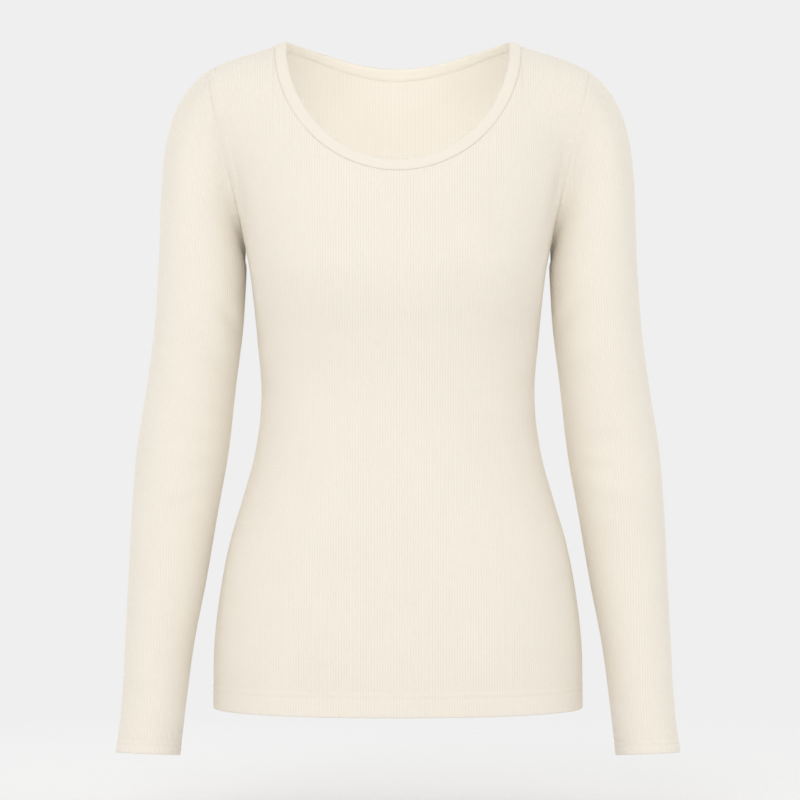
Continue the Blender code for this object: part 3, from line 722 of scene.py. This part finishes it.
def sleeve(mirror):
    """A sleeve: (outer points, inner points, cloth coordinates) in rows and columns."""
    drops = list(np.linspace(ARM_TOP, CUFF_DROP - OVER_CUFF, ARM_ROWS))
    drops += [CUFF_DROP - lift for lift in CUFF_LIFTS]
    runs = np.array(rib_columns(max(arm_section(FRONT, drop)[0][-1] for drop in drops)))
    rows = [sleeve_row(True, share, runs) for share in CAP_SHARES]
    rows += [sleeve_row(False, drop, runs) for drop in drops]
    points, normals, run, widths = (np.array(grid) for grid in zip(*rows))
    steps = np.linalg.norm(np.diff(points, axis=0), axis=2)
    lift = np.cumsum(steps[::-1], axis=0)[::-1]
    lift = np.concatenate([lift, np.zeros((1, points.shape[1]))])
    edge = nearest(points, denser(points[0]))
    edge[len(CAP_SHARES) + ARMHOLE_ROWS :] = FAR
    edge = np.minimum(edge, widths - np.abs(run))
    grids = walls(points, normals, run, lift, edge, SLEEVE_CREASES, CUFF_HEIGHT, CUFF_ROWS_APART)
    turn = MIRRORED if mirror else np.ones(3)
    return grids[0] * turn, grids[1] * turn, np.stack([run, lift], -1)


def on_form(side, x, z):
    """Points of the upper form that show at (x, z) in front view, and the form's normals there."""
    run = x.copy()
    share = np.ones_like(x)
    for _ in range(CORRECTIONS):
        share = share_at_height(side, run, lambda _: z)
        run = np.clip(run + x - upper_points(side, run, share)[:, 0], 0.0, None)
    points = upper_points(side, run, share)
    return points, square_at_seams(points, panel_normals(side, False, share, run))


def neck_line(inward, stations):
    """The closed line round the neck on the form, from the middle of the front.

    Given as (points, normals, runs) at stations an even distance apart.
    """
    half = NECK_HALF_WIDTH - inward
    x = half * np.sin(np.linspace(0.0, math.pi / 2, SAMPLES))
    halves = [on_form(side, x, neck_height(side, x, inward)) for side in SIDES]
    ring, out = (
        np.concatenate([front, back[::-1][1:], back[1:] * MIRRORED, (front[::-1] * MIRRORED)[1:]])
        for front, back in zip(*halves)
    )
    run = run_lengths(ring)
    even = np.linspace(0.0, run[-1], stations + 1)
    return spaced(ring, run, even), unit(spaced(out, run, even)), even


# The neckband: how far below the form its middle lies, the width of its cloth, and its section,
# as (part of the way in from the panels, rise over the form).
BAND_MIDDLE = 0.0009
BAND_CLOTH = 0.024
BAND_SECTION = (
    (0.000, -0.0010),
    (0.000, -0.0004),
    (0.012, 0.0001),
    (0.05, 0.00042),
    (0.14, 0.00066),
    (0.30, 0.00082),
    (0.50, 0.00086),
    (0.70, 0.00076),
    (0.84, 0.00048),
    (0.93, 0.0001),
    (0.985, -0.0004),
    (1.00, -0.0009),
    (0.985, -0.0014),
    (0.93, -0.0018),
    (0.70, -0.0021),
    (0.35, -0.0022),
    (0.06, -0.0021),
    (0.00, -0.0018),
    (0.000, -0.0010),
)


def neckband_form():
    """The folded band: (points, cloth coordinates), by points of its section and by stations."""
    girth = neck_line(BAND_WIDTH / 2, SAMPLES)[2][-1]
    ribs = round(girth / RIB_PITCH)
    (outer_edge, outer_out, _), (inner_edge, inner_out, _) = (
        neck_line(inward, ribs * RIB_COLUMNS) for inward in (BAND_GAP, BAND_WIDTH)
    )
    part, rise = (column[:, None, None] for column in np.array(BAND_SECTION).T)
    edge = outer_edge * (1 - part) + inner_edge * part
    out = unit(outer_out * (1 - part) + inner_out * part)
    station = np.arange(ribs * RIB_COLUMNS + 1) / RIB_COLUMNS * RIB_PITCH
    valley = (rib_depth(station)[None, :, None] > 0.5) * np.sin(part * math.pi) ** 0.5
    points = edge + out * (rise - BAND_RIB_DEPTH * valley * np.sign(rise + BAND_MIDDLE))
    around = np.broadcast_to(station[None, :], points.shape[:2])
    across = np.linspace(0, BAND_CLOTH, len(BAND_SECTION))[:, None]
    return points, np.stack([around, np.broadcast_to(across, points.shape[:2])], -1)


def placed_grid(points):
    """A grid of vertices at the points, joined where they coincide, that keep their places."""
    rows, columns = points.shape[:2]
    shape = bmesh.new()
    bmesh.ops.create_grid(shape, x_segments=columns - 1, y_segments=rows - 1, size=1.0)
    place = shape.verts.layers.int.new("place")
    for k, (corner, point) in enumerate(zip(shape.verts, points.reshape(-1, 3))):
        corner.co = point
        corner[place] = k
    bmesh.ops.remove_doubles(shape, verts=shape.verts, dist=MERGE)
    return shape, place


def finish_piece(shape, place, name, cloth, material):
    """An object from a shape: faces out, smooth, with its cloth coordinates as a UV map."""
    bmesh.ops.recalc_face_normals(shape, faces=shape.faces)
    if shape.calc_volume(signed=True) < 0:
        bmesh.ops.reverse_faces(shape, faces=shape.faces)
    flat = cloth.reshape(-1, 2)
    uv = shape.loops.layers.uv.new("cloth")
    for face in shape.faces:
        face.smooth = True
        for loop in face.loops:
            loop[uv].uv = flat[loop.vert[place]]
    shape.verts.layers.int.remove(place)
    mesh = bpy.data.meshes.new(name)
    shape.to_mesh(mesh)
    shape.free()
    mesh.set_sharp_from_angle(angle=math.radians(SHARP_DEGREES))
    mesh.materials.append(material)
    piece = bpy.data.objects.new(name, mesh)
    bpy.context.scene.collection.objects.link(piece)
    return piece


def put_in_order(shape):
    """Edges and faces sorted by their corners, so that each run writes the same mesh."""
    shape.verts.index_update()
    count = len(shape.verts)

    def rank(part):
        lowest = sorted(corner.index for corner in part.verts)[:3]
        return sum(index * count**power for power, index in enumerate(reversed(lowest)))

    shape.edges.sort(key=rank)
    shape.faces.sort(key=rank)


def cloth_piece(name, outer, inner, cloth, material):
    """A closed wall of cloth between an outer and an inner grid of points."""
    shape, place = placed_grid(outer)
    made = bmesh.ops.extrude_face_region(shape, geom=shape.faces[:], use_keep_orig=True)
    flat = inner.reshape(-1, 3)
    for corner in made["geom"]:
        if isinstance(corner, bmesh.types.BMVert):
            corner.co = flat[corner[place]]
    put_in_order(shape)
    return finish_piece(shape, place, name, cloth, material)


def stitched_thread(line, out, thickness):
    """The surface of a thread along a closed line that dips into the cloth between stitches."""
    run = run_lengths(line)
    even = np.linspace(0.0, run[-1], round(run[-1] / STITCH_LENGTH) * STITCH_STEPS + 1)
    centre, out = spaced(line, run, even), unit(spaced(out, run, even))
    across = unit(np.cross(unit(np.gradient(centre, axis=0)), out))
    between = np.arange(len(even)) % STITCH_STEPS == 0
    radius = (np.where(between, THREAD_PINCH, 1.0) * thickness)[:, None]
    sunk = (np.where(between, THREAD_DIP, 0.0) * thickness)[:, None]
    angle = np.linspace(0.0, 2 * math.pi, THREAD_SIDES + 1)
    ring = centre[:, None] + out[:, None] * (sunk + radius * np.sin(angle))[..., None]
    return ring + across[:, None] * (radius * np.cos(angle))[..., None]


def stitching(name, rows, thickness, material):
    """Rows of stitches along closed lines, each given as (points, normals)."""
    whole = bmesh.new()
    place = whole.verts.layers.int.new("place")
    surfaces = [stitched_thread(line, out, thickness) for line, out in rows]
    for surface in surfaces:
        shape, _ = placed_grid(surface)
        mesh = bpy.data.meshes.new(name)
        shape.to_mesh(mesh)
        shape.free()
        whole.from_mesh(mesh)
        bpy.data.meshes.remove(mesh)
    # The thread's finish reads no cloth coordinates, so they are all 0.
    cloth = np.zeros((max(surface[..., 0].size for surface in surfaces), 2))
    return finish_piece(whole, place, name, cloth, material)


def stitch_line(grid, lift):
    """The line on the outside of a piece's grid at a lift above its edge, from column to column."""
    outer, _, cloth = grid
    line = []
    for points, lifts in zip(outer.swapaxes(0, 1), cloth[..., 1].T):
        order = np.argsort(lifts)
        line.append([np.interp(lift, lifts[order], points[order, k]) for k in range(3)])
    return np.array(line)


def without_repeats(line):
    """A line without the points that lie on the point before them."""
    steps = np.linalg.norm(np.diff(line, axis=0), axis=1)
    return line[np.concatenate([[True], steps > SAME_POINT])]


def closed_row(line):
    """A closed line's points and its outward normals, level with the ground."""
    closed = np.concatenate([line, line[:1]])
    along = np.gradient(closed, axis=0)
    out = np.stack([along[:, 1], -along[:, 0], np.zeros(len(closed))], 1)
    out *= np.sign((out * (closed - closed.mean(axis=0))).sum())
    return closed, unit(out)


def hem_row(front_grid, back_grid, lift):
    """A row of the hem's stitches, round the front and the back."""
    line = np.concatenate([stitch_line(front_grid, lift), stitch_line(back_grid, lift)[::-1]])
    return closed_row(without_repeats(line))


def cuff_row(grid, lift):
    """A row of a cuff's stitches."""
    line = without_repeats(stitch_line(grid, lift))
    ends_meet = np.linalg.norm(line[0] - line[-1]) < SAME_POINT
    return closed_row(line[:-1] if ends_meet else line)


def colour(red, green, blue):
    """A colour given as the screen shows it, from 0 to 255, as a shader takes it."""
    parts = [v / 255 for v in (red, green, blue)]
    return (*((v / 12.92 if v <= 0.04045 else ((v + 0.055) / 1.055) ** 2.4) for v in parts), 1.0)


GROUND = colour(239, 239, 239)


def new_material(name, roughness, specular):
    """A material: (material, nodes, links, shader)."""
    material = bpy.data.materials.new(name)
    material.use_nodes = True
    nodes, links = material.node_tree.nodes, material.node_tree.links
    shader = nodes["Principled BSDF"]
    shader.inputs["Roughness"].default_value = roughness
    shader.inputs["Specular IOR Level"].default_value = specular
    return material, nodes, links, shader


def speckle(nodes, links, scale, detail):
    """Noise that stays with the piece."""
    place = nodes.new("ShaderNodeTexCoord")
    noise = nodes.new("ShaderNodeTexNoise")
    noise.inputs["Scale"].default_value = scale
    noise.inputs["Detail"].default_value = detail
    links.new(place.outputs["Object"], noise.inputs["Vector"])
    return noise.outputs[0]


def knit_material(name, tint, valley, valley_shade_share, stitch_depth):
    """Matte rib knit: small stitches along each rib, painted shade in the rib valleys, soft
    mottling and nap.
    """
    material, nodes, links, shader = new_material(name, roughness=0.92, specular=0.18)
    shader.inputs["Sheen Weight"].default_value = 0.22
    shader.inputs["Sheen Roughness"].default_value = 0.55
    shader.inputs["Sheen Tint"].default_value = (1.0, 0.97, 0.92, 1.0)

    def fill(sockets, values):
        for socket, value in zip(sockets, values):
            if isinstance(value, bpy.types.NodeSocket):
                links.new(value, socket)
            else:
                socket.default_value = value

    def calculated(operation, *values):
        node = nodes.new("ShaderNodeMath")
        node.operation = operation
        fill(node.inputs, values)
        return node.outputs[0]

    def mixed(blend, share, first, second):
        node = nodes.new("ShaderNodeMix")
        node.data_type = "RGBA"
        node.blend_type = blend
        # A Mix node's two colours are its sockets 6 and 7, and its mixed colour is output 2.
        fill((node.inputs["Factor"], *node.inputs[6:8]), (share, first, second))
        return node.outputs[2]

    uv = nodes.new("ShaderNodeUVMap")
    uv.uv_map = "cloth"
    on_cloth = nodes.new("ShaderNodeSeparateXYZ")
    links.new(uv.outputs[0], on_cloth.inputs[0])
    run, lift = on_cloth.outputs[0], on_cloth.outputs[1]
    in_rib = calculated("FRACT", calculated("DIVIDE", calculated("ABSOLUTE", run), RIB_PITCH))
    from_valley = calculated("ABSOLUTE", calculated("SUBTRACT", in_rib, 0.5))
    valley_shade_mask = calculated("SUBTRACT", 1.0, calculated("MULTIPLY", from_valley, 5.0))
    valley_shade_mask = calculated("SMOOTH_MAX", valley_shade_mask, 0.0, 0.2)

    slant = calculated("PINGPONG", calculated("MULTIPLY", in_rib, 2.0), 0.5)
    turns = calculated("ADD", calculated("DIVIDE", lift, STITCH_PITCH), slant)
    wave = calculated("SINE", calculated("MULTIPLY", turns, 2 * math.pi))
    stitches = calculated("MULTIPLY", wave, stitch_depth)
    nap = calculated("MULTIPLY", speckle(nodes, links, NAP_SCALE, 3.0), NAP_DEPTH)

    mottle = speckle(nodes, links, MOTTLE_SCALE, 3.0)
    mottle = calculated("MULTIPLY_ADD", mottle, MOTTLE_SHARE, LIGHTNESS)
    yarn = calculated("MULTIPLY", speckle(nodes, links, YARN_SCALE, 2.0), YARN_SHARE)
    change = calculated("ADD", mottle, yarn)
    grey = nodes.new("ShaderNodeCombineColor")
    for socket in grey.inputs:
        links.new(change, socket)
    # Painted shade: the base colour is mixed towards the darker valley colour in each rib's narrow
    # valley.
    shade = mixed("MIX", calculated("MULTIPLY", valley_shade_mask, valley_shade_share), tint, valley)
    links.new(mixed("MULTIPLY", 1.0, shade, grey.outputs[0]), shader.inputs["Base Color"])

    bump = nodes.new("ShaderNodeBump")
    bump.inputs["Strength"].default_value = 0.8
    bump.inputs["Distance"].default_value = 1.0
    links.new(calculated("ADD", stitches, nap), bump.inputs["Height"])
    links.new(bump.outputs[0], shader.inputs["Normal"])
    return material


def thread_material():
    """Ivory sewing thread with a slight lustre."""
    material, nodes, links, shader = new_material("ivory_thread", roughness=0.6, specular=0.3)
    ramp = nodes.new("ShaderNodeValToRGB")
    ramp.color_ramp.elements[0].color = colour(228, 216, 196)
    ramp.color_ramp.elements[1].color = colour(247, 240, 226)
    links.new(speckle(nodes, links, THREAD_SCALE, 2.0), ramp.inputs[0])
    links.new(ramp.outputs[0], shader.inputs["Base Color"])
    return material


def area_light(name, place, aim, size, power, tint=(1.0, 1.0, 1.0)):
    """A soft square light that faces a point."""
    light = bpy.data.lights.new(name, "AREA")
    light.size = size
    light.energy = power
    light.color = tint
    lamp = bpy.data.objects.new(name, light)
    lamp.location = place
    lamp.rotation_euler = (Vector(aim) - Vector(place)).to_track_quat("-Z", "Y").to_euler()
    lamp.visible_camera = False
    bpy.context.scene.collection.objects.link(lamp)


def studio_camera():
    """A camera square to the front, as in the photograph."""
    camera = bpy.data.objects.new("camera", bpy.data.cameras.new("camera"))
    camera.location = (CAMERA_X, -CAMERA_AWAY, CAMERA_Z)
    camera.rotation_euler = (math.radians(90), 0.0, 0.0)
    camera.data.sensor_width = SENSOR
    camera.data.lens = SENSOR * CAMERA_AWAY / PICTURE_WIDTH
    bpy.context.scene.collection.objects.link(camera)
    bpy.context.scene.camera = camera


def studio_world():
    """An even white softbox all round, seen as the pale backdrop."""
    world = bpy.data.worlds.new("studio")
    bpy.context.scene.world = world
    world.use_nodes = True
    nodes, links = world.node_tree.nodes, world.node_tree.links
    backdrop = nodes["Background"]
    backdrop.inputs["Color"].default_value = GROUND
    softbox = nodes.new("ShaderNodeBackground")
    softbox.inputs["Color"].default_value = (1.0, 1.0, 1.0, 1.0)
    softbox.inputs["Strength"].default_value = SOFTBOX
    seen = nodes.new("ShaderNodeLightPath")
    either = nodes.new("ShaderNodeMixShader")
    links.new(seen.outputs["Is Camera Ray"], either.inputs[0])
    links.new(softbox.outputs[0], either.inputs[1])
    links.new(backdrop.outputs[0], either.inputs[2])
    links.new(either.outputs[0], nodes["World Output"].inputs["Surface"])


def pale_floor():
    """A round floor that fades into the backdrop between two distances from its middle."""
    shape = bmesh.new()
    bmesh.ops.create_circle(shape, cap_ends=True, segments=96, radius=FLOOR_RADIUS)
    bmesh.ops.translate(shape, verts=shape.verts, vec=(0.0, 0.0, FLOOR_Z))
    mesh = bpy.data.meshes.new("floor")
    shape.to_mesh(mesh)
    shape.free()
    floor = bpy.data.objects.new("floor", mesh)
    bpy.context.scene.collection.objects.link(floor)
    paint, nodes, links, shader = new_material("pale_floor", roughness=0.9, specular=0.0)
    shader.inputs["Base Color"].default_value = GROUND
    place = nodes.new("ShaderNodeTexCoord")
    centred = nodes.new("ShaderNodeMapping")
    centred.inputs["Location"].default_value = (0.0, 0.0, -FLOOR_Z)
    from_middle = nodes.new("ShaderNodeVectorMath")
    from_middle.operation = "LENGTH"
    fade = nodes.new("ShaderNodeMapRange")
    fade.interpolation_type = "SMOOTHSTEP"
    for socket, value in zip(fade.inputs[1:5], (*FLOOR_FADES, 1.0, 0.0)):
        socket.default_value = value
    links.new(place.outputs["Object"], centred.inputs["Vector"])
    links.new(centred.outputs[0], from_middle.inputs[0])
    links.new(from_middle.outputs["Value"], fade.inputs["Value"])
    links.new(fade.outputs[0], shader.inputs["Alpha"])
    mesh.materials.append(paint)
    return floor


# Each tint's second, darker colour is painted shade for the rib valleys, not a colour of the yarn.
RIB_TINT, RIB_VALLEY_PAINTED_SHADE = colour(240, 233, 221), colour(220, 209, 190)
BAND_TINT, BAND_VALLEY_PAINTED_SHADE = colour(237, 230, 217), colour(226, 216, 200)
rib_knit = knit_material(
    "rib_knit_cloth", RIB_TINT, RIB_VALLEY_PAINTED_SHADE, valley_shade_share=0.32, stitch_depth=0.00007
)
band_knit = knit_material(
    "neckband_cloth", BAND_TINT, BAND_VALLEY_PAINTED_SHADE, valley_shade_share=0.22, stitch_depth=0.00006
)
thread = thread_material()

front_grid, back_grid = panel(FRONT), panel(BACK)
sleeve_grids = {"left": sleeve(False), "right": sleeve(True)}

front = cloth_piece("rib_front", *front_grid, rib_knit)
back = cloth_piece("rib_back", *back_grid, rib_knit)
sleeves = {
    side: cloth_piece("rib_sleeve_" + side, *grid, rib_knit) for side, grid in sleeve_grids.items()
}
band_points, band_cloth = neckband_form()
band_shape, band_place = placed_grid(band_points)
band = finish_piece(band_shape, band_place, "folded_neckband", band_cloth, band_knit)

hem_lifts = (HEM_HEIGHT, HEM_HEIGHT - HEM_ROWS_APART)
hem_rows = [hem_row(front_grid, back_grid, lift) for lift in hem_lifts]
hem_stitches = stitching("hem_stitching", hem_rows, HEM_THREAD, thread)
cuff_lifts = (CUFF_HEIGHT, CUFF_HEIGHT - CUFF_ROWS_APART)
cuff_stitches = {}
for side, grid in sleeve_grids.items():
    cuff_rows = [cuff_row(grid, lift) for lift in cuff_lifts]
    cuff_stitches[side] = stitching("cuff_stitching_" + side, cuff_rows, CUFF_THREAD, thread)

for piece in (front, back, *sleeves.values(), band, hem_stitches, *cuff_stitches.values()):
    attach(piece, "root")
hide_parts("front_panel")
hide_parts("back_panel")
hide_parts("sleeve_left")
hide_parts("sleeve_right")
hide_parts("neckband")

studio_camera()
area_light("key", (-0.6, -3.0, 1.6), (0, 0, -0.3), 1.6, 17.0)
area_light("fill_right", (1.6, -2.7, -0.1), (0, 0, -0.35), 1.2, 6.8)
area_light("fill_left", (-1.6, -2.7, -0.1), (0, 0, -0.35), 1.2, 5.8)
area_light("back_right", (1.2, 2.8, 0.9), (0, 0, -0.3), 1.6, 9.0)
area_light("back_left", (-1.2, 2.8, 0.9), (0, 0, -0.3), 1.6, 11.0)
area_light("inner", (0.0, -0.070, -0.22), (0, -0.002, -0.032), 0.05, 0.20, (0.93, 0.985, 1.08))
studio_world()
pale_floor()
bpy.context.scene.view_settings.view_transform = "Standard"
